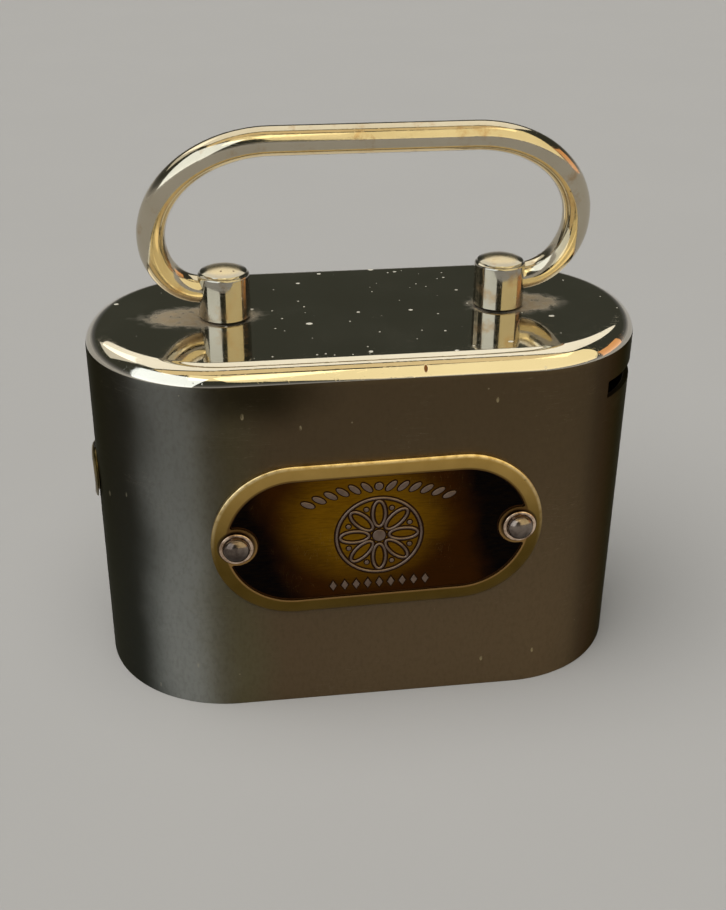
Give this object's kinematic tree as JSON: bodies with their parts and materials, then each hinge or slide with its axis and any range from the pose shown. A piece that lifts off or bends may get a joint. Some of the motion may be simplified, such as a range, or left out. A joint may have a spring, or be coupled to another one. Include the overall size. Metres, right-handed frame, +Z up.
{
  "type": "oval metal savings bank with bail handle",
  "caption": "Oval plated metal coin bank with a swinging bail handle, riveted brass plate, end coin slot, note hole and hinged locking base.",
  "frame": {"origin": "bottom centre of the object's box, on the face it stands on; the case's own middle plane is 1.7 mm behind it, because the plate and its rivets stand proud of the front", "axes": "+Z up, +X to the coin-slot end, -X to the note-hole end, -Y the side with the plate, +Y the plain back"},
  "size_m": [0.1008, 0.0514, 0.105],
  "materials": {
    "case_nickel": "satin-brushed wall with a mirror top and rim, worn nickel plating",
    "bright_nickel": "polished nickel, lightly pitted and tarnished",
    "plate_brass": "brass border round a brown lacquered field that darkens to black at the ends",
    "rivet_steel": "tarnished domed steel",
    "ring_copper": "coppery, worn bright on its edge",
    "eyelet_brass": "dull brass",
    "lock_brass": "dull brass",
    "base_steel": "satin nickel-plated sheet, scuffed",
    "inner_steel": "zinc-plated sheet and fasteners",
    "spring_steel": "blued spring wire"
  },
  "bodies": {
    "case": {"body_shell": "case_nickel", "left_post": "bright_nickel", "right_post": "bright_nickel", "left_post_washer": "inner_steel", "right_post_washer": "inner_steel", "left_post_nut": "inner_steel", "right_post_nut": "inner_steel", "name_plate": "plate_brass", "left_plate_rivet": "rivet_steel", "right_plate_rivet": "rivet_steel", "left_rivet_ring": "ring_copper", "right_rivet_ring": "ring_copper", "left_rivet_burr": "ring_copper", "right_rivet_burr": "ring_copper", "coin_guard": "inner_steel", "coin_flap_pin": "inner_steel", "coin_flap_spring": "spring_steel", "note_eyelet": "eyelet_brass", "note_guard": "inner_steel", "base_ledge": "inner_steel", "base_end_plate": "base_steel", "hinge_pin": "inner_steel"},
    "handle": {"handle_bail": "bright_nickel"},
    "slot_flap": {"coin_flap": "inner_steel"},
    "lid": {"base_lid": "base_steel", "lock_barrel": "lock_brass", "lock_case": "inner_steel", "lock_left_screw": "inner_steel", "lock_right_screw": "inner_steel"},
    "plug": {"lock_plug": "lock_brass", "lock_cam": "inner_steel"},
    "bolt": {"lock_bolt": "inner_steel"}
  },
  "joints": [
    {"name": "handle_swing", "type": "hinge", "parent": "case", "child": "handle", "pos_m": [0, 0.00168, 0.0739], "axis": [1, 0, 0], "range_deg": [-117.5, 77.5]},
    {"name": "slot_flap_hinge", "type": "hinge", "parent": "case", "child": "slot_flap", "pos_m": [0.033, 0.00168, 0.0624], "axis": [0, 1, 0], "range_deg": [0, 65], "stiffness_Nm_per_rad": 0.002, "springref_deg": -17.19, "deforming": ["coin_flap_spring"]},
    {"name": "lid_hinge", "type": "hinge", "parent": "case", "child": "lid", "pos_m": [-0.042, 0.00168, 0.0017], "axis": [0, 1, 0], "range_deg": [0, 105]},
    {"name": "lock_turn", "type": "hinge", "parent": "lid", "child": "plug", "pos_m": [0.028, 0.00168, 0.0025], "axis": [0, 0, 1], "range_deg": [0, 90]},
    {"name": "bolt_slide", "type": "slide", "parent": "lid", "child": "bolt", "axis": [1, 0, 0], "range_m": [0, 0.00396]}
  ],
  "couplings": [
    {"joint": "lock_turn", "follows": "bolt_slide", "rad_per_m": 396.66}
  ]
}
